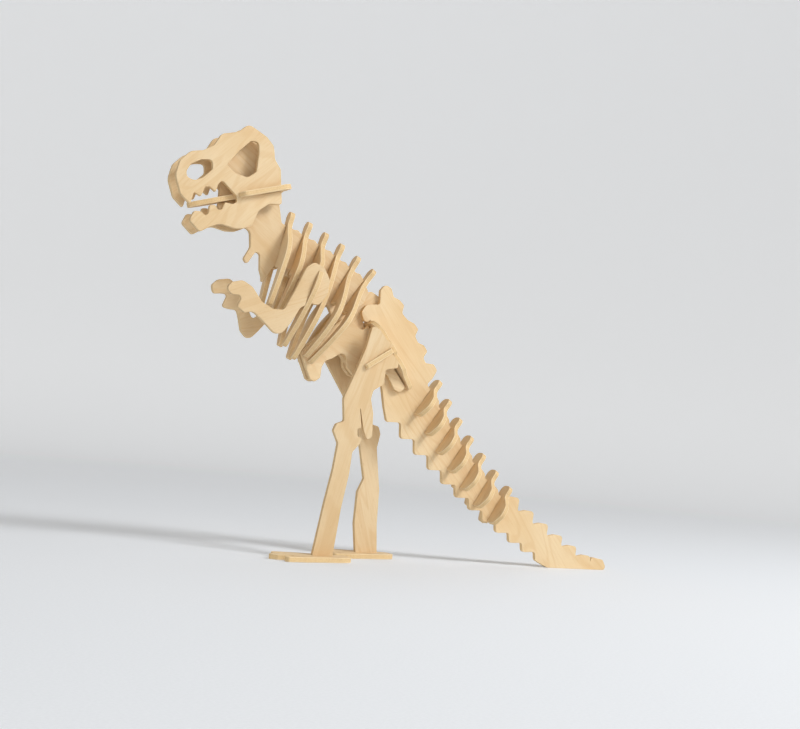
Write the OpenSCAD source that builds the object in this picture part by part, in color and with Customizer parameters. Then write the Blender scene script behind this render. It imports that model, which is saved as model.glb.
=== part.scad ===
// Slotted plywood dinosaur skeleton: flat plates that press together with cross-lap slots.
// Side plates lie in the X-Z plane (head towards -X), cross plates stand across them.
// Every outline is a list of [x, z, corner radius] in millimetres.

/* [Plywood] */
// Thickness of the plywood sheet
ply = 3; // [2.9:0.1:3]
// Clearance on each side of a slot
slot_gap = 0.1; // [0.05:0.05:0.15]
// Gap between plates that lie face to face
layer_gap = 0.1; // [0.05:0.05:0.15]

/* [Ribs] */
// Height of a rib tip above the spine
rib_tip = 10; // [8:1:12]
// Half width of a rib at its rounded tip
rib_tip_half = 4; // [4:0.5:5]
// Depth of the spine slot that a rib drops into
rib_seat = 12; // [10:1:13]

/* [Tail] */
// Height of a vertebra tip above the tail
vertebra_tip = 9; // [8:1:11]
// Depth of the tail slot that a vertebra drops into
vertebra_seat = 7; // [6:1:8]
// Half width across a vertebra
vertebra_half = 14; // [12:1:15]

/* [Head and limbs] */
// Distance from the centre plane to each skull side
skull_y = 7.2; // [6.8:0.2:7.6]
// Distance from the centre plane to each arm
arm_y = 15.6; // [15.5:0.1:15.8]
// Distance from the centre plane to each leg
leg_y = 15; // [14:1:16]

/* [Hidden] */

wood = [0.90, 0.78, 0.60];
wood_light = [0.94, 0.85, 0.70];
half = ply / 2;
slot_half = half + slot_gap;
pelvis_y = ply + layer_gap;
stack_half = pelvis_y + half + slot_gap;
arc_step = 12;
far = 60;

// Shift that puts the middle of the whole model over the origin
centre_shift = -13.834;

// ---------- outline helpers ----------
function unit(v) = v / norm(v);
function turn(v, a) = [v.x * cos(a) - v.y * sin(a), v.x * sin(a) + v.y * cos(a)];
function flat(lists) = [for (l = lists) for (p = l) p];

// Arc that rounds corner p between the neighbours a and c
function corner_arc(a, p, c, r) =
    let (
        u = unit(a - p),
        v = unit(c - p),
        half_angle = acos(max(-0.999, min(0.999, u * v))) / 2,
        reach = min(r / tan(half_angle), 0.49 * min(norm(a - p), norm(c - p))),
        centre = p + unit(u + v) * reach / cos(half_angle),
        first = p + u * reach - centre,
        last = p + v * reach - centre,
        side = sign(first.x * last.y - first.y * last.x),
        sweep = 180 - 2 * half_angle,
        steps = max(1, ceil(sweep / arc_step))
    )
    [for (k = [0:steps]) centre + turn(first, side * sweep * k / steps)];

function rounded(points) =
    let (n = len(points), xz = [for (p = points) [p.x, p.y]])
    flat([for (i = [0:n - 1])
        points[i].z > 0
            ? corner_arc(xz[(i + n - 1) % n], xz[i], xz[(i + 1) % n], points[i].z)
            : [xz[i]]
    ]);

// Mirror an outline of a cross plate: right half listed from top to bottom
function both_sides(right) =
    concat(right, [for (i = [len(right) - 1:-1:0]) [-right[i].x, right[i].y, right[i].z]]);

// ---------- plate helpers ----------
// Plate parallel to the centre plane, its middle at y
module side_plate(points, y = 0) {
    translate([0, y + half, 0])
        rotate([90, 0, 0])
            linear_extrude(ply)
                polygon(rounded(points));
}

// Frame of a cross plate: local X runs across (Y), local Y runs up the lean
module cross_frame(seat, lean) {
    translate([seat.x, 0, seat.y])
        rotate([0, lean, 0])
            rotate([90, 0, 90])
                children();
}

module cross_plate(seat, lean, points) {
    cross_frame(seat, lean)
        linear_extrude(ply, center = true)
            polygon(rounded(points));
}

// Slot in a side plate for a cross plate, from height w0 to w1 along its lean
module lap_slot(seat, lean, w0, w1, y = 0) {
    cross_frame(seat, lean)
        translate([y - 2 * ply, w0, -slot_half])
            cube([4 * ply, w1 - w0, 2 * slot_half]);
}

// Slot in a cross plate for side plates, v is its middle across
module across_slot(seat, lean, v, w0, w1, half_width) {
    cross_frame(seat, lean)
        translate([v - half_width, w0, -ply])
            cube([2 * half_width, w1 - w0, 2 * ply]);
}

// ---------- spine and ribs ----------
rib_count = 6;
rib_pitch = 11.4;
spine_start = [-70.3, 187];
function spine_slope(i) = 20 + 2.75 * i;
function spine_seat(i) = i == 0
    ? spine_start
    : spine_seat(i - 1) + rib_pitch * [cos(spine_slope(i - 1)), -sin(spine_slope(i - 1))];

// Rib by rib: lean, widest half width and its depth, half width at the ends, drop, shoulder curve,
// width of the band below the spine
rib_lean = [11.5, 16, 17, 20, 26, 33];
rib_widest = [14.2, 12.5, 20, 13.5, 21, 21];
rib_widest_drop = [17, 20, 25, 34, 33, 33];
rib_end = [9, 6, 5, 5.2, 8.8, 8.8];
rib_drop = [47, 47, 62, 65, 60, 61];
rib_ease = [1, 1.2, 1, 1, 1.5, 1.6];
rib_band_top = [9, 9, 15, 9, 9, 9];
rib_band_end = 3.8;
spine_depth = 23;
rib_neck_half = 2.8;

// Outer half width of rib i at the fraction f of its drop
function rib_outer(i, f) =
    let (
        widest_at = rib_widest_drop[i] / rib_drop[i],
        shoulder = 1 - pow(1 - pow(min(1, f / widest_at), rib_ease[i]), 2),
        tuck = pow(max(0, f - widest_at) / (1 - widest_at), 1.5)
    )
    rib_neck_half
        + (rib_widest[i] - rib_neck_half) * shoulder
        - (rib_widest[i] - rib_end[i]) * tuck;
function rib_inner(i, f) =
    max(slot_half + 0.1, rib_outer(i, f) - rib_band_top[i] + (rib_band_top[i] - rib_band_end) * f);

function rib_right(i) =
    let (arch = (spine_depth + 1) / rib_drop[i], steps = 14)
    concat(
        [[rib_tip_half, rib_tip, rib_tip_half], [rib_neck_half, 2, 5]],
        [for (k = [1:steps]) [rib_outer(i, k / steps), -rib_drop[i] * k / steps, k == steps ? 2.5 : 0]],
        [for (k = [steps:-1:0])
            let (f = arch + (1 - arch) * k / steps)
            if (rib_inner(i, f) > slot_half)
                [rib_inner(i, f), -rib_drop[i] * f, k == steps ? 2.5 : 0]
        ],
        [[slot_half, -rib_drop[i] * arch, 0], [slot_half, -rib_seat, 0]]
    );

module rib(i) {
    color(wood)
        cross_plate(spine_seat(i), rib_lean[i], both_sides(rib_right(i)));
}

// Rib 3 carries the arms in notches cut down into its shoulders, with a low horn outside each notch
arm_notch = 20;
arm_horn = 16.5;
module arm_rib() {
    color(wood)
        difference() {
            rib(2);
            for (side = [-1, 1]) {
                across_slot(spine_seat(2), rib_lean[2], side * arm_y, -arm_notch, rib_tip, slot_half);
                across_slot(spine_seat(2), rib_lean[2], side * (arm_y + 10), -arm_horn, rib_tip, 10);
            }
        }
}

// ---------- body plate ----------
palate_seat = [-103, 200];
palate_lean = 71.5;
palate_meet_body = 9;
palate_meet_skull = 12;

// Crest of the spine between two ribs
function crest(i) =
    let (a = spine_seat(i), b = spine_seat(i + 1), along = unit(b - a), out = [-along.y, along.x])
    [for (f = [0.32, 0.5, 0.72]) concat(a + (b - a) * f + out * (f == 0.5 ? 2.2 : 1.2), [2])];

neck_and_head = [
    [-74.5, 189.5, 2], [-76, 196, 3], [-78, 204, 3], [-80, 213, 4], [-84, 222, 4], [-89, 230, 6],
    [-100, 234, 8], [-112, 229, 6], [-116, 220, 4], [-113, 210, 4], [-113, 192, 3],
    [-100, 184, 6], [-93, 183, 4], [-91.8, 173, 4], [-95.3, 166, 1.5], [-93, 163, 1.2],
    [-88.4, 171, 2], [-85.8, 170, 2], [-85, 161, 3], [-83.6, 157.5, 1], [-83, 153, 1],
    [-76, 166, 4]
];
hip_lobe = [
    [-66, 163.5, 8], [-53, 155, 8], [-41, 145, 6], [-36, 136, 4], [-38, 124, 4], [-30, 117, 4],
    [-20, 107, 3], [-9.2, 106, 0], [-1.2, 119.8, 0], [-15, 136.6, 1], [-19, 133.5, 2], [-24, 135, 3],
    [-27, 139, 3], [-25, 145, 3], [-19, 150, 3], [-16.5, 157.5, 2]
];

// Jigsaw knob of the tail plate that locks in the body plate between the pelvis sides
knob_seat = [-5, 112.9];
knob_turn = 150;
module jigsaw_knob(grow) {
    translate([knob_seat.x, half + slot_gap, knob_seat.y])
        rotate([90, 0, 0])
            linear_extrude(ply + (grow > 0 ? 2 * slot_gap : 0))
                rotate(knob_turn)
                    polygon(rounded([
                        [-1, 1.3 + grow, 0], [1.2, 1.3 + grow, 0.4], [2.2, 2.6 + grow, 0.8],
                        [4 + grow, 2 + grow, 1.2], [4 + grow, -2 - grow, 1.2],
                        [2.2, -2.6 - grow, 0.8], [1.2, -1.3 - grow, 0.4], [-1, -1.3 - grow, 0]
                    ]));
}

module body_plate() {
    color(wood)
        difference() {
            side_plate(concat(
                flat([for (i = [rib_count - 2:-1:0]) [for (k = [2:-1:0]) crest(i)[k]]]),
                neck_and_head,
                hip_lobe
            ));
            for (i = [0:rib_count - 1])
                lap_slot(spine_seat(i), rib_lean[i], -rib_seat, far);
            lap_slot(palate_seat, palate_lean, -far, palate_meet_body);
            lap_slot(crossbar_seat, crossbar_lean, 0, far);
            lap_slot(wing_seat, wing_lean, -far, wing_slot_top);
            jigsaw_knob(slot_gap);
        }
}

// ---------- skull ----------
skull_outline = [
    [-131, 190.3, 0.6], [-137, 195.3, 4], [-140.8, 205, 8], [-139, 213.5, 5], [-133.5, 219.6, 5],
    [-126.5, 221.3, 5], [-120.5, 225.3, 4], [-117, 232.3, 4], [-107.5, 235.2, 4], [-102, 240.6, 4],
    [-96.5, 238.2, 3], [-90.5, 235.3, 4], [-86, 231, 4], [-84.6, 223.5, 4], [-80.6, 218.5, 3],
    [-79.4, 209, 3], [-78, 198.6, 1.5], [-85.5, 198, 3], [-91.5, 193, 4], [-94.5, 184, 3],
    [-99.5, 181.6, 3], [-105, 181, 5], [-113, 182.4, 6], [-119, 179.5, 4], [-124, 176, 2],
    [-130.6, 181.6, 2], [-128.3, 187.2, 1.5], [-124.8, 187.4, 1], [-121.6, 185.6, 1], [-120.2, 187, 0.4],
    [-119.9, 191.8, 0.8], [-116.8, 192.2, 0.8], [-115, 189.6, 1.2], [-112.8, 190.4, 1.2],
    [-111.4, 194.6, 0.8], [-106.8, 194.3, 1.2], [-104.6, 195.8, 1.2], [-105, 199, 1.2],
    [-114.2, 206.6, 1.5], [-116.2, 204, 1], [-117.3, 199.4, 0.5], [-121, 201.8, 1],
    [-123.4, 201.4, 0.8], [-125.3, 195.6, 0.7], [-129.5, 197.4, 0.6]
];
eye_outline = [
    [-112.6, 215.6, 1.5], [-106, 224.6, 8], [-99.8, 231.4, 2.5], [-95.3, 231.6, 2], [-94.4, 226, 4],
    [-94.9, 214.5, 2.5], [-99.8, 210.6, 3], [-107.5, 211.8, 4]
];
nostril_outline = [
    [-134.9, 208, 3], [-132.6, 212.6, 3.5], [-127, 216, 4], [-120.9, 217, 2.2], [-120.2, 211.6, 2.5],
    [-125.5, 206, 5], [-130, 203.8, 3.5], [-134.2, 205, 2.5]
];

module skull_side(side) {
    y = side * skull_y;
    color(wood)
        difference() {
            side_plate(skull_outline, y);
            translate([0, y, 0]) scale([1, 2, 1]) side_plate(eye_outline);
            translate([0, y, 0]) scale([1, 2, 1]) side_plate(nostril_outline);
            lap_slot(palate_seat, palate_lean, palate_meet_skull, far, y);
        }
}

palate_half = 13;
palate_tongue_half = 5.2;
palate_rear = 31.5;
palate_front = -28.7;
palate_right = [
    [1.5, palate_front, 1.5], [3.6, palate_front + 5, 6], [palate_tongue_half, palate_front + 14, 10],
    [palate_tongue_half, -3, 0],
    [skull_y - slot_half, -1, 0], [skull_y - slot_half, palate_meet_skull, 0],
    [skull_y + slot_half, palate_meet_skull, 0], [skull_y + slot_half, -1, 0],
    [palate_half, 1.5, 3], [palate_half, palate_rear - 4, 4], [9, palate_rear, 4],
    [slot_half, palate_rear - 1.5, 0], [slot_half, palate_meet_body, 0]
];

module palate_plate() {
    color(wood_light)
        cross_plate(palate_seat, palate_lean, both_sides(palate_right));
}

// ---------- arms ----------
shoulder_outline = [
    [-63, 164, 4], [-58.5, 168, 4], [-52, 165.5, 3], [-48, 159, 4], [-48.5, 151, 4], [-53.5, 143.5, 3],
    [-58.5, 144.5, 1.5], [-64.4, 141, 3]
];
forearm_left_outline = [
    [-69, 132, 4], [-76, 122.8, 5], [-84, 129.5, 4], [-92, 135.6, 4], [-96.8, 134.2, 2],
    [-101.4, 137.2, 1.5], [-98.6, 143.6, 2.5], [-105, 143.4, 2], [-108.6, 146.5, 2.5],
    [-105.5, 150.3, 3], [-99.5, 152, 4], [-93.5, 149, 4], [-87.2, 141.4, 4], [-80.5, 138.4, 3],
    [-74, 138.6, 3]
];
// The right forearm hangs steeper
forearm_right_outline = [
    [-73, 132.6, 4], [-77, 127.5, 4], [-82.6, 121.4, 4], [-87.6, 126.6, 3], [-89.4, 133.6, 3],
    [-91, 138.2, 2], [-95.5, 138.2, 1.5], [-100, 139, 1.5], [-97.2, 146.6, 1.5], [-101.2, 146.6, 2],
    [-106, 145.8, 2], [-107.4, 150.6, 2.5], [-104, 154.2, 3], [-97, 155.8, 4], [-91, 151, 4],
    [-84.5, 140, 3], [-81.2, 133.8, 2], [-76.6, 137.6, 3]
];

module arm(side, forearm_outline) {
    y = side * arm_y;
    color(wood_light)
        difference() {
            side_plate(concat(
                shoulder_outline,
                forearm_outline,
                [[-68, 151.5, 6]]
            ), y);
            lap_slot(spine_seat(2), rib_lean[2], -far, -arm_notch, y);
        }
}

// ---------- pelvis ----------
crossbar_seat = [-13.3, 117.7];
crossbar_lean = 54.5;
crossbar_reach = 9.8;
crossbar_half = leg_y + half + 2.6;
wing_seat = [0.45, 121.25];
wing_lean = -39.4;
wing_reach = 23.7;
wing_slot_top = wing_reach + 0.5;

pelvis_lower = [
    [-57, 117.5, 2], [-49.6, 102.2, 1.5], [-46.6, 101, 1.5], [-43.4, 103.6, 1.5], [-43, 110, 2],
    [-41, 113.8, 2], [-36.5, 115.8, 3], [-31.5, 119.4, 3], [-28.4, 118, 2], [-27.2, 111.5, 3],
    [-23, 107, 3], [-12, 105.5, 4], [-1.5, 111, 3], [4.2, 101.8, 3], [8, 99.8, 3], [11.3, 102.6, 3],
    [10.9, 104.4, 0], [-16.2, 137.4, 0]
];
// The left plate is hollowed behind the ribs, the right one backs the hip up to the crest
pelvis_top_left = [[-18.2, 134.3, 3], [-22, 134.8, 3], [-26.4, 138.8, 2]];
pelvis_top_right = [
    [-16.9, 139.6, 1], [-12.8, 143.4, 1.5], [-9, 143.4, 3], [-5.5, 149, 3], [-7.5, 155.6, 3],
    [-13, 158.4, 3], [-19, 156.4, 3], [-23, 150, 3], [-26.4, 142, 3]
];
pelvis_front = [[-33, 139, 4], [-44, 129, 6]];

module pelvis_side(side) {
    pelvis_outline = concat(
        pelvis_lower,
        side < 0 ? pelvis_top_left : pelvis_top_right,
        pelvis_front
    );
    color(wood)
        difference() {
            side_plate(pelvis_outline, side * pelvis_y);
            lap_slot(crossbar_seat, crossbar_lean, 0, far, side * pelvis_y);
            lap_slot(wing_seat, wing_lean, -far, wing_slot_top, side * pelvis_y);
        }
}

wing_right = [
    [7, wing_reach, 3], [11, 20.5, 3], [13.2, 15.5, 3], [12.4, 10.5, 3], [13.2, 6, 3],
    [13.2, 2, 2], [10.2, 0, 2], [11.8, -4, 3], [11, -10, 4], [8, -14, 5], [5, -wing_reach, 2.5]
];

module pelvis_wing() {
    color(wood_light)
        difference() {
            cross_plate(wing_seat, wing_lean, both_sides(wing_right));
            across_slot(wing_seat, wing_lean, 0, -far, 0, slot_half);
        }
}

module hip_crossbar() {
    color(wood_light)
        difference() {
            cross_plate(crossbar_seat, crossbar_lean, both_sides([
                [crossbar_half, crossbar_reach, 1.5], [crossbar_half, -crossbar_reach, 1.5]
            ]));
            across_slot(crossbar_seat, crossbar_lean, 0, -far, 0, stack_half);
            for (side = [-1, 1])
                across_slot(crossbar_seat, crossbar_lean, side * leg_y, -far, 0, slot_half);
        }
}

// ---------- tail plate ----------
vertebra_count = 7;
function tail_seat(i) = [31.3 + 7.5 * i + 0.3 * i * i, 102.3 - 11.1 * i + 0.15 * i * i];
function vertebra_lean(i) = 34.5 - 0.6 * i;

hip_crest = [
    [-8.2, 151, 1.5], [-8.6, 159.5, 2], [-5.5, 163.4, 2.5], [-1.5, 161.4, 2], [0.3, 156.6, 2],
    [4.6, 155.2, 1.5], [7.7, 152.4, 1.5], [6.8, 147.6, 2], [11, 144, 2], [15.6, 142.4, 1.5],
    [18.6, 139.2, 1.5], [16.8, 135, 2], [19, 131.4, 2], [23.4, 130, 1.5], [26, 126.8, 1.5],
    [23.6, 122.6, 2], [25.4, 119.6, 2], [31, 119.4, 2], [33.8, 116, 2.2], [31, 110.6, 3],
    [27.4, 106.6, 1.5]
];
// Crest of the tail between two vertebrae
function tail_crest(i) =
    let (a = tail_seat(i), b = tail_seat(i + 1), along = unit(b - a), out = [-along.y, along.x])
    [for (p = [[0.2, 1.9], [0.55, 1.7], [0.76, -0.3]]) concat(a + (b - a) * p.x + out * p.y, [1.5])];

// Saw-tooth edges of the tail: upper from tooth 0 after the last vertebra, lower from the hip block
upper_teeth = 6;
lower_teeth = 12;
function upper_tooth(k) = [99.5 + 11.4 * k, 42.5 - 8.2 * k + 0.28 * k * k];
function lower_tooth(k) = [3 + 10.15 * k, 82 - 9.5 * k + 0.22 * k * k];
upper_edge = flat([for (k = [0:upper_teeth - 1])
    let (p = upper_tooth(k), q = upper_tooth(k + 1))
    [concat(p - [6, -0.6], [2]), concat(p, [2.2]), [p.x - 0.8, q.y - 0.8, 1.5]]
]);
lower_edge = flat([for (k = [lower_teeth - 1:-1:1])
    let (p = lower_tooth(k), q = lower_tooth(k - 1))
    [concat(p, [2.2]), [p.x - 0.8, q.y + 0.4, 1.5]]
]);
tail_tip = [[157, 8, 2], [166, 6.5, 2], [169.5, 0, 2], [124, 0, 4]];
hip_block = [
    [3, 82, 2.2], [0.3, 91, 8], [-2.3, 103, 2], [-9, 105.9, 0], [-1, 119.7, 0], [0.45, 121.25, 0],
    [-14, 139.1, 1], [-17.6, 140, 2.5], [-19.8, 145, 3], [-17, 149.6, 3], [-11.5, 150.6, 2]
];

module tail_plate() {
    color(wood)
        difference() {
            side_plate(concat(
                hip_crest,
                flat([for (i = [0:vertebra_count - 2]) tail_crest(i)]),
                upper_edge,
                tail_tip,
                lower_edge,
                hip_block
            ));
            for (i = [0:vertebra_count - 1])
                lap_slot(tail_seat(i), vertebra_lean(i), -vertebra_seat, far);
            lap_slot(wing_seat, wing_lean, 0, wing_slot_top);
        }
    color(wood)
        translate([0, -slot_gap, 0])
            jigsaw_knob(0);
}

vertebra_right = [
    [5, vertebra_tip, 5], [4.6, 1.5, 4], [vertebra_half - 2, -4.5, 5], [vertebra_half, -11, 6],
    [vertebra_half - 5, -18, 4], [slot_half, -17.5, 0.5], [slot_half, -vertebra_seat, 0]
];

module vertebra(i) {
    color(wood_light)
        cross_plate(tail_seat(i), vertebra_lean(i), both_sides(vertebra_right));
}

// ---------- legs and feet ----------
leg_left_outline = [
    [-18.4, 136.4, 1.5], [-13.6, 134.6, 3], [-9, 129.4, 4], [-2.6, 125.6, 1.5], [-4.8, 122, 1],
    [0, 117, 2], [-0.2, 113.6, 1.5], [-8, 112, 2], [-8, 103.5, 3], [-14.6, 99, 3], [-15.6, 94, 4],
    [-13.4, 86, 4], [-12.8, 72.5, 1.5], [-15.6, 70.2, 1.2], [-18.5, 76, 0.5], [-21.6, 88, 0.3],
    [-22, 88, 0.3], [-20, 77, 1], [-22.4, 76.6, 1.5], [-22.2, 72, 1.5], [-19, 71, 0.8],
    [-20.6, 67.2, 1], [-24.4, 62.7, 3], [-25.2, 50, 8], [-28.4, 30, 8], [-31, 3, 0],
    [-31.6, 3, 0], [-31.6, 0.1, 0], [-42.4, 0.1, 0], [-42.4, 3, 0], [-43.2, 3, 0],
    [-38.6, 33, 10], [-35.2, 52, 10], [-33.6, 67, 3], [-37.2, 74, 2], [-35.8, 78, 2],
    [-31, 80, 1.5], [-32.6, 93, 5], [-26, 110, 10], [-21.4, 123, 10]
];
leg_right_outline = [
    [-18.4, 136.4, 1.5], [-13.6, 134.6, 3], [-9, 129.4, 4], [-2.6, 125.6, 1.5], [-4.8, 122, 1],
    [0, 117, 2], [-1, 106, 5], [-2.5, 93, 8], [0.5, 80, 2], [5, 79, 2], [6.6, 74.5, 2],
    [5, 66, 4], [9, 41, 10], [9.4, 20, 8], [11, 3, 0],
    [9.4, 3, 0], [9.4, 0.1, 0], [-1.4, 0.1, 0], [-1.4, 3, 0], [-3, 3, 0],
    [-5.4, 20, 8], [-5, 39, 2], [-1.6, 47, 3], [-6, 66, 8], [-8.4, 76.5, 4],
    [-19.5, 95.5, 20], [-34, 116, 4], [-28, 124, 8], [-20.6, 131, 4]
];
foot_outline = [
    [17, 5, 4], [17, -5, 4], [9, -8, 4], [-2, -9.5, 8], [-12, -12, 8], [-25, -13.5, 1.2],
    [-27, -10.5, 1.2], [-14, -5.6, 2], [-28, -3.6, 2], [-32.5, 0, 1.5], [-28, 3.6, 2],
    [-14, 5.6, 2], [-27, 10.5, 1.2], [-25, 13.5, 1.2], [-12, 12, 8], [-2, 9.5, 8], [9, 8, 4]
];
foot_left_x = -37;
foot_right_x = 4;
tenon_half = 5.4;

module leg(side, outline) {
    y = side * leg_y;
    color(wood)
        difference() {
            side_plate(outline, y);
            lap_slot(crossbar_seat, crossbar_lean, 0, far, y);
        }
}

module foot(x, side) {
    color(wood_light)
        translate([x, side * leg_y, 0])
            difference() {
                linear_extrude(ply)
                    polygon(rounded(foot_outline));
                translate([-tenon_half - slot_gap, -slot_half, -ply])
                    cube([2 * (tenon_half + slot_gap), 2 * slot_half, 3 * ply]);
            }
}

// ---------- named pieces ----------
module placed() {
    translate([centre_shift, 0, 0])
        children();
}

placed() body_plate();
placed() tail_plate();
placed() skull_side(-1);  // skull_left
placed() skull_side(1);  // skull_right
placed() palate_plate();
placed() rib(0);  // rib_1
placed() rib(1);  // rib_2
placed() arm_rib();  // rib_3
placed() rib(3);  // rib_4
placed() rib(4);  // rib_5
placed() rib(5);  // rib_6
placed() arm(-1, forearm_left_outline);  // arm_left
placed() arm(1, forearm_right_outline);  // arm_right
placed() pelvis_wing();
placed() pelvis_side(-1);  // pelvis_left
placed() pelvis_side(1);  // pelvis_right
placed() hip_crossbar();
placed() leg(-1, leg_left_outline);  // leg_left
placed() leg(1, leg_right_outline);  // leg_right
placed() foot(foot_left_x, -1);  // foot_left
placed() foot(foot_right_x, 1);  // foot_right
placed() vertebra(0);  // tail_vertebra_1
placed() vertebra(1);  // tail_vertebra_2
placed() vertebra(2);  // tail_vertebra_3
placed() vertebra(3);  // tail_vertebra_4
placed() vertebra(4);  // tail_vertebra_5
placed() vertebra(5);  // tail_vertebra_6
placed() vertebra(6);  // tail_vertebra_7
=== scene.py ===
"""Looks for the slotted plywood dinosaur skeleton: sanded plywood, a pale studio and the camera."""
import math
import random

import bpy
import numpy as np
from mathutils import Matrix, Vector


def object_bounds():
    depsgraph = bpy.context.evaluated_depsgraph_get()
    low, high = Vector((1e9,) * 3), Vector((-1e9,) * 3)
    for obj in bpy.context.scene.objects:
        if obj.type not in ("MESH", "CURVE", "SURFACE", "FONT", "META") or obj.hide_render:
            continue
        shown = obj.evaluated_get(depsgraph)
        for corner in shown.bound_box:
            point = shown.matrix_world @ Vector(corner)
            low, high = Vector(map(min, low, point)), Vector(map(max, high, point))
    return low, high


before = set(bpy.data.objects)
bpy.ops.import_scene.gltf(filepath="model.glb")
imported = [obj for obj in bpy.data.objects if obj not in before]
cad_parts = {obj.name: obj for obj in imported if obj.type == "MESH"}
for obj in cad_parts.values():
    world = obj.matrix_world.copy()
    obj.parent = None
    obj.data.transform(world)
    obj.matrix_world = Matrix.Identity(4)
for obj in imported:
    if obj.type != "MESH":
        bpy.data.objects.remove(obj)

cad_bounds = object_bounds()
low, high = Vector(cad_bounds[0]), Vector(cad_bounds[1])
scene = bpy.context.scene
dice = random.Random(28)

# Plywood sheet, in metres
SHEET = 0.003
FACE_VENEER = 0.00062
SANDED_EDGE = 0.00034
# The same depths in the millimetres that the material works in, from the middle of the sheet
SURFACE_DEPTH = SHEET / 2 * 1000
CORE_DEPTH = (SHEET / 2 - FACE_VENEER) * 1000 + 0.08
RIM_DEPTH = (SHEET / 2 - SANDED_EDGE) * 1000
GLUE_WIDTH = 0.14

# Grain of each sheet: most degrees off the long side of its plate, and how far its figure is shifted
GRAIN_SWING = 9
SHEET_SHIFT = 90
# Most that one sheet is lighter or darker than the middle tone, of 255
TONE_SPREAD = 4

# ---------- node helpers ----------


def add(tree, kind, settings=None, **inputs):
    """Adds a shader node, sets its properties and its unlinked inputs, and links any socket given."""
    made = tree.nodes.new(kind)
    for name, value in (settings or {}).items():
        setattr(made, name, value)
    for name, value in inputs.items():
        key = int(name[1:]) if name[0] == "i" and name[1:].isdigit() else name.replace("_", " ")
        if isinstance(value, bpy.types.NodeSocket):
            tree.links.new(value, made.inputs[key])
        else:
            made.inputs[key].default_value = value
    return made


def maths(tree, operation, a, b=0.0, clamp=False):
    made = add(tree, "ShaderNodeMath", {"operation": operation, "use_clamp": clamp}, i0=a, i1=b)
    return made.outputs[0]


def blend_colour(tree, factor, a, b, mode="MIX"):
    made = tree.nodes.new("ShaderNodeMix")
    made.data_type = "RGBA"
    made.blend_type = mode
    for socket, value in zip((made.inputs[0], made.inputs[6], made.inputs[7]), (factor, a, b)):
        if isinstance(value, bpy.types.NodeSocket):
            tree.links.new(value, socket)
        else:
            socket.default_value = value
    return made.outputs[2]


def ramp(tree, factor, start, end, low_value=0.0, high_value=1.0):
    """A smooth step from low_value to high_value as the factor goes from start to end."""
    made = add(
        tree, "ShaderNodeMapRange", {"interpolation_type": "SMOOTHSTEP"},
        Value=factor, From_Min=start, From_Max=end, To_Min=low_value, To_Max=high_value,
    )
    return made.outputs[0]


def noise(tree, vector, scale, detail=3.0, roughness=0.55, distortion=0.0):
    made = add(
        tree, "ShaderNodeTexNoise", Vector=vector, Scale=scale, Detail=detail,
        Roughness=roughness, Distortion=distortion,
    )
    return made.outputs[0]


# ---------- plywood ----------


def plate_frame(plate):
    """Middle point and axes of a flat plate: across its thickness, along it and over its width."""
    areas = {}
    for face in plate.data.polygons:
        normal = face.normal
        if normal.y < -0.5 or (abs(normal.y) <= 0.5 and normal.x + normal.z < 0):
            normal = -normal
        key = tuple(round(value, 3) for value in normal)
        areas[key] = areas.get(key, 0.0) + face.area
    through = Vector(max(areas, key=areas.get)).normalized()
    points = np.array([vertex.co for vertex in plate.data.vertices])
    depths = points @ np.array(through)
    middle = Vector(points.mean(0))
    middle += through * ((depths.min() + depths.max()) / 2 - middle.dot(through))
    spread = points - points.mean(0)
    spread -= np.outer(spread @ np.array(through), through)
    along = Vector(np.linalg.eigh(spread.T @ spread)[1][:, 2]).normalized()
    return middle, through, along


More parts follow.
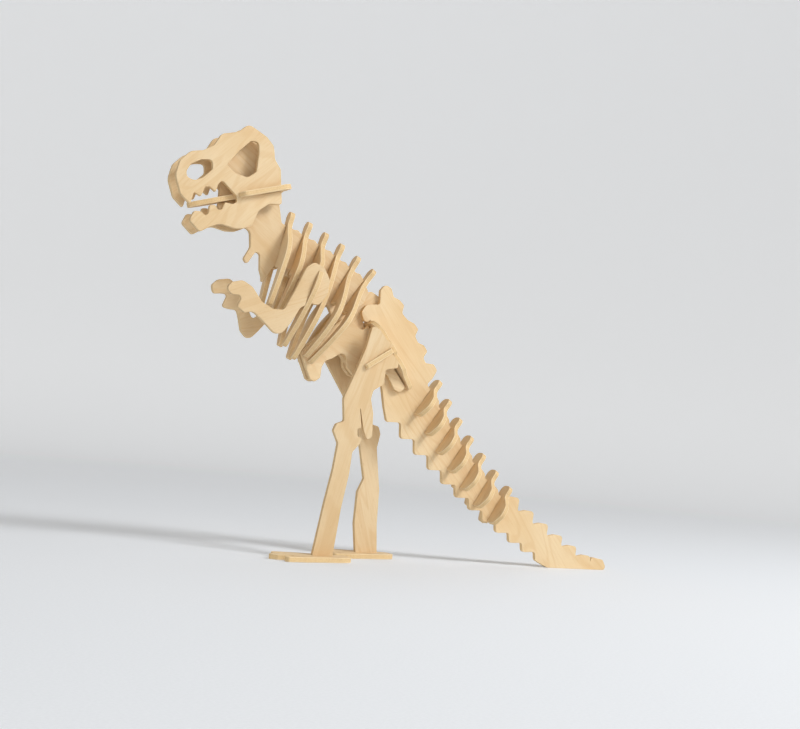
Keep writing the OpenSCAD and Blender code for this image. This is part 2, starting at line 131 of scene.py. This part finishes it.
def plywood(name, plate, tone):
    """Sanded plywood in the plate's own axes: veneer grain on faces, plies and end grain on edges."""
    middle, through, along = plate_frame(plate)
    along = Matrix.Rotation(math.radians(dice.uniform(-GRAIN_SWING, GRAIN_SWING)), 3, through) @ along
    axes = Matrix((through, along, through.cross(along))).transposed()
    material = bpy.data.materials.new(name)
    material.use_nodes = True
    tree = material.node_tree
    tree.nodes.clear()

    # Plate coordinates in millimetres: X through the sheet, Y along the grain, Z across the grain
    place = add(
        tree, "ShaderNodeMapping", {"vector_type": "TEXTURE"},
        Vector=tree.nodes.new("ShaderNodeTexCoord").outputs["Object"],
        Location=middle, Rotation=axes.to_euler(), Scale=(0.001, 0.001, 0.001),
    ).outputs[0]
    depth = maths(tree, "ABSOLUTE", add(tree, "ShaderNodeSeparateXYZ", Vector=place).outputs[0])
    sheet_shift = tuple(dice.uniform(-SHEET_SHIFT, SHEET_SHIFT) for _ in range(3))

    def stretched(scale):
        return add(
            tree, "ShaderNodeMapping", Vector=place, Location=sheet_shift, Scale=scale
        ).outputs[0]

    # Face veneer: wide cathedral figure, fine fibres and short dark pores
    figure = noise(tree, stretched((0.02, 0.010, 0.055)), 1.0, 1.5, 0.45, 0.6)
    rings = maths(tree, "SINE", maths(tree, "MULTIPLY", figure, 62.0))
    fibres = noise(tree, stretched((0.3, 0.07, 1.9)), 1.0, 5.0, 0.62)
    pores = ramp(tree, noise(tree, stretched((0.6, 0.22, 3.4)), 1.0, 2.0, 0.5), 0.66, 0.78)
    patches = noise(tree, stretched((0.03, 0.02, 0.045)), 1.0, 2.0, 0.5)
    tint = ramp(tree, patches, 0.3, 0.7)
    face = blend_colour(tree, tint, tone["face_light"], tone["face_deep"])
    ring_mask = ramp(tree, rings, 0.1, 1.0, 0.0, 0.30)
    face = blend_colour(tree, ring_mask, face, tone["ring"])
    face = blend_colour(tree, ramp(tree, fibres, 0.42, 0.72, 0.0, 0.34), face, tone["fibre"])
    face = blend_colour(tree, maths(tree, "MULTIPLY", pores, 0.34), face, tone["pore"])

    # Cut edge: pale outer veneers, a deeper core with end grain, thin glue lines and cutter streaks
    wobble = noise(tree, stretched((0.02, 0.5, 0.5)), 1.0, 2.0)
    ply_depth = maths(tree, "ADD", depth, maths(tree, "MULTIPLY", wobble, 0.16))
    core = ramp(tree, ply_depth, CORE_DEPTH + 0.05, CORE_DEPTH - 0.05)
    glue = maths(
        tree, "SUBTRACT",
        ramp(tree, ply_depth, CORE_DEPTH - GLUE_WIDTH, CORE_DEPTH),
        ramp(tree, ply_depth, CORE_DEPTH, CORE_DEPTH + GLUE_WIDTH),
    )
    end_grain = ramp(tree, noise(tree, stretched((2.6, 2.6, 2.6)), 1.0, 3.0, 0.6), 0.45, 0.72)
    streaks = ramp(tree, noise(tree, stretched((0.12, 1.3, 1.3)), 1.0, 4.0, 0.6), 0.40, 0.75)
    edge = blend_colour(tree, maths(tree, "MULTIPLY", core, 0.55), tone["edge"], tone["core"])
    core_grain = maths(tree, "MULTIPLY", end_grain, maths(tree, "MULTIPLY", core, 0.5))
    edge = blend_colour(tree, core_grain, edge, tone["pore"])
    edge = blend_colour(tree, maths(tree, "MULTIPLY", streaks, 0.28), edge, tone["fibre"])
    edge = blend_colour(tree, maths(tree, "MULTIPLY", glue, 0.5), edge, tone["glue"])

    # The face veneer shows down to its own thickness on the sanded edge
    on_face = ramp(tree, depth, RIM_DEPTH, SURFACE_DEPTH - 0.04)
    colour = blend_colour(tree, on_face, edge, face)

    # Fibres stand up on the faces and pores sink; end grain and streaks sink on the edges
    relief_face = maths(
        tree, "SUBTRACT", maths(tree, "MULTIPLY", fibres, 0.8), maths(tree, "MULTIPLY", pores, 0.7)
    )
    relief_edge = maths(
        tree, "ADD", maths(tree, "MULTIPLY", end_grain, -0.9), maths(tree, "MULTIPLY", streaks, -0.5)
    )
    relief = add(
        tree, "ShaderNodeMix", {"data_type": "FLOAT"}, i0=on_face, i2=relief_edge, i3=relief_face
    ).outputs[0]
    bump = add(tree, "ShaderNodeBump", Strength=0.55, Distance=0.00012, Height=relief).outputs[0]
    base_rough = maths(tree, "SUBTRACT", 0.62, maths(tree, "MULTIPLY", on_face, 0.12))
    rough = maths(tree, "ADD", maths(tree, "MULTIPLY", fibres, 0.22), base_rough)
    shader = add(
        tree, "ShaderNodeBsdfPrincipled", Base_Color=colour, Roughness=rough, Normal=bump,
        IOR=1.45, Specular_IOR_Level=0.35,
    )
    tree.links.new(shader.outputs[0], tree.nodes.new("ShaderNodeOutputMaterial").inputs[0])
    return material


def srgb(red, green, blue):
    """A linear colour from sRGB values of 0 to 255."""
    def linear(value):
        value /= 255
        return value / 12.92 if value <= 0.04045 else ((value + 0.055) / 1.055) ** 2.4
    return (linear(red), linear(green), linear(blue), 1.0)


def tone(lift):
    """Colours of one sheet of plywood, a little lighter or darker than the middle one."""
    def shade(red, green, blue):
        return srgb(red + lift, green + lift, blue + 0.8 * lift)
    return {
        "face_light": shade(230, 205, 165),
        "face_deep": shade(224, 194, 149),
        "ring": shade(213, 175, 124),
        "fibre": shade(214, 178, 128),
        "pore": shade(186, 142, 92),
        "edge": shade(238, 214, 170),
        "core": shade(221, 185, 130),
        "glue": shade(178, 130, 78),
    }


# ---------- sanded edges ----------


def smooth_by_angle():
    """Modifier group: welds the plate's shell and shades it smooth, but for edges over 30 degrees."""
    group = bpy.data.node_groups.new("welded_smooth", "GeometryNodeTree")
    group.interface.new_socket("Geometry", in_out="INPUT", socket_type="NodeSocketGeometry")
    group.interface.new_socket("Geometry", in_out="OUTPUT", socket_type="NodeSocketGeometry")
    weld = add(
        group, "GeometryNodeMergeByDistance",
        Geometry=group.nodes.new("NodeGroupInput").outputs[0], Distance=0.000002,
    )
    faces = add(group, "GeometryNodeSetShadeSmooth", Geometry=weld.outputs[0], Shade_Smooth=True)
    angle = group.nodes.new("GeometryNodeInputMeshEdgeAngle").outputs[0]
    flat = add(
        group, "FunctionNodeCompare", {"operation": "GREATER_THAN"}, i0=angle, i1=math.radians(30)
    )
    edges = add(
        group, "GeometryNodeSetShadeSmooth", {"domain": "EDGE"},
        Geometry=faces.outputs[0], Selection=flat.outputs[0], Shade_Smooth=False,
    )
    group.links.new(edges.outputs[0], group.nodes.new("NodeGroupOutput").inputs[0])
    return group


def sand(plate, group):
    """Rounds the rims of a plate as sandpaper does, without moving its faces."""
    plate.modifiers.new("weld", "NODES").node_group = group
    flatten = plate.modifiers.new("flatten", "DECIMATE")
    flatten.decimate_type = "DISSOLVE"
    flatten.angle_limit = math.radians(0.5)
    rims = plate.modifiers.new("rims", "BEVEL")
    rims.width = SANDED_EDGE
    rims.segments = 3
    rims.limit_method = "ANGLE"
    rims.angle_limit = math.radians(40)
    rims.use_clamp_overlap = True
    rims.harden_normals = True
    rims.miter_outer = "MITER_ARC"
    normals = plate.modifiers.new("normals", "WEIGHTED_NORMAL")
    normals.keep_sharp = True


group = smooth_by_angle()
for name, plate in sorted(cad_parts.items()):
    material = plywood("plywood_" + name, plate, tone(dice.uniform(-TONE_SPREAD, TONE_SPREAD)))
    plate.data.materials.clear()
    plate.data.materials.append(material)
    sand(plate, group)

# ---------- studio ----------
STAGE_RADIUS = 1.5
STAGE_RISE = 2.4
STAGE_RINGS = 48
STAGE_SIDES = 96
STAGE_TURN = math.radians(80)
# The paper's glow grows from nothing at the first distance to WALL_GLOW at the second
GLOW_FROM, GLOW_TO = 0.3, 2.6
WALL_GLOW = 0.30
middle = (low + high) / 2


def studio_floor():
    """A pale round floor that turns up into a wall far from the model, so that no horizon shows."""
    rings = [(STAGE_RADIUS * k / 3, 0.0) for k in range(1, 4)]
    for k in range(1, STAGE_RINGS + 1):
        turn = STAGE_TURN * k / STAGE_RINGS
        radius = STAGE_RADIUS + STAGE_RISE * math.sin(turn)
        rings.append((radius, STAGE_RISE * (1 - math.cos(turn))))
    centre = Vector((middle.x, middle.y, low.z))
    points = [centre]
    for radius, height in rings:
        for side in range(STAGE_SIDES):
            way = math.tau * side / STAGE_SIDES
            points.append(centre + Vector((radius * math.cos(way), radius * math.sin(way), height)))
    faces = [(0, 1 + side, 1 + (side + 1) % STAGE_SIDES) for side in range(STAGE_SIDES)]
    for ring in range(len(rings) - 1):
        start = 1 + ring * STAGE_SIDES
        for side in range(STAGE_SIDES):
            after = (side + 1) % STAGE_SIDES
            outer = start + STAGE_SIDES
            faces.append((start + side, outer + side, outer + after, start + after))
    mesh = bpy.data.meshes.new("studio_floor")
    mesh.from_pydata(points, [], faces)
    mesh.shade_smooth()
    floor = bpy.data.objects.new("studio_floor", mesh)
    scene.collection.objects.link(floor)
    paper = bpy.data.materials.new("studio_paper")
    paper.use_nodes = True
    tree = paper.node_tree
    shader = tree.nodes["Principled BSDF"]
    place = tree.nodes.new("ShaderNodeTexCoord").outputs["Object"]
    mottle = ramp(tree, noise(tree, place, 900.0, 3.0), 0.3, 0.7)
    white = blend_colour(tree, mottle, (0.83, 0.86, 0.90, 1), (0.86, 0.89, 0.93, 1))
    tree.links.new(white, shader.inputs["Base Color"])
    # Away from the model the paper glows a little, as a lit backdrop does
    away = add(tree, "ShaderNodeVectorMath", {"operation": "LENGTH"}, i0=place).outputs[1]
    glow = ramp(tree, away, GLOW_FROM, GLOW_TO, 0.0, WALL_GLOW)
    tree.links.new(glow, shader.inputs["Emission Strength"])
    shader.inputs["Emission Color"].default_value = (0.98, 0.99, 1.0, 1)
    shader.inputs["Roughness"].default_value = 0.9
    shader.inputs["Specular IOR Level"].default_value = 0.1
    mesh.materials.append(paper)


def soft_light(name, azimuth, elevation, distance, size, power, colour):
    """A square area light that faces the model, azimuth from the front (-Y) towards the head (-X).

    Angles are in degrees, distance and size in metres and power in watts.
    """
    lamp = bpy.data.lights.new(name, "AREA")
    lamp.size = size
    lamp.energy = power
    lamp.color = colour
    light = bpy.data.objects.new(name, lamp)
    a, e = math.radians(azimuth), math.radians(elevation)
    aim = Vector((-math.sin(a) * math.cos(e), -math.cos(a) * math.cos(e), math.sin(e)))
    light.location = middle + aim * distance
    light.rotation_euler = aim.to_track_quat("Z", "Y").to_euler()
    scene.collection.objects.link(light)


studio_floor()
# The key stands on the tail side, so faces towards the head fall into warm shade
soft_light("key", -38, 38, 1.6, 0.55, 18.0, (0.97, 0.98, 0.99))
soft_light("fill", 20, 16, 1.9, 1.2, 2.0, (0.98, 0.985, 0.98))
soft_light("top", 165, 62, 1.6, 1.0, 3.5, (0.97, 0.985, 1.0))
world = bpy.data.worlds.new("studio")
world.use_nodes = True
sky = world.node_tree.nodes["Background"]
sky.inputs["Color"].default_value = (1.0, 0.93, 0.84, 1)
sky.inputs["Strength"].default_value = 0.30
scene.world = world
scene.view_settings.view_transform = "Standard"

# ---------- camera ----------
# Degrees from the front towards the head, metres from the target and above the floor, degrees of
# clockwise roll, and the lens in millimetres
VIEW_AZIMUTH = 26
VIEW_DISTANCE = 0.75
VIEW_HEIGHT = 0.070
VIEW_ROLL = 5
VIEW_LENS = 56.34
TARGET = Vector((middle.x - 0.0048, middle.y, low.z + 0.117))


def photo_camera():
    """Camera in front and a little towards the head, low down, rolled a few degrees clockwise."""
    rise = math.asin((TARGET.z - low.z - VIEW_HEIGHT) / VIEW_DISTANCE)
    a = math.radians(VIEW_AZIMUTH)
    ahead = Vector((math.sin(a) * math.cos(rise), math.cos(a) * math.cos(rise), math.sin(rise)))
    right = ahead.cross(Vector((0, 0, 1))).normalized()
    right = Matrix.Rotation(-math.radians(VIEW_ROLL), 3, ahead) @ right
    up = right.cross(ahead)
    camera = bpy.data.objects.new("camera", bpy.data.cameras.new("camera"))
    camera.matrix_world = (
        Matrix.Translation(TARGET - ahead * VIEW_DISTANCE)
        @ Matrix((right, up, -ahead)).transposed().to_4x4()
    )
    camera.data.lens = VIEW_LENS
    camera.data.sensor_width = 36
    camera.data.clip_start = 0.01
    scene.collection.objects.link(camera)
    scene.camera = camera


photo_camera()
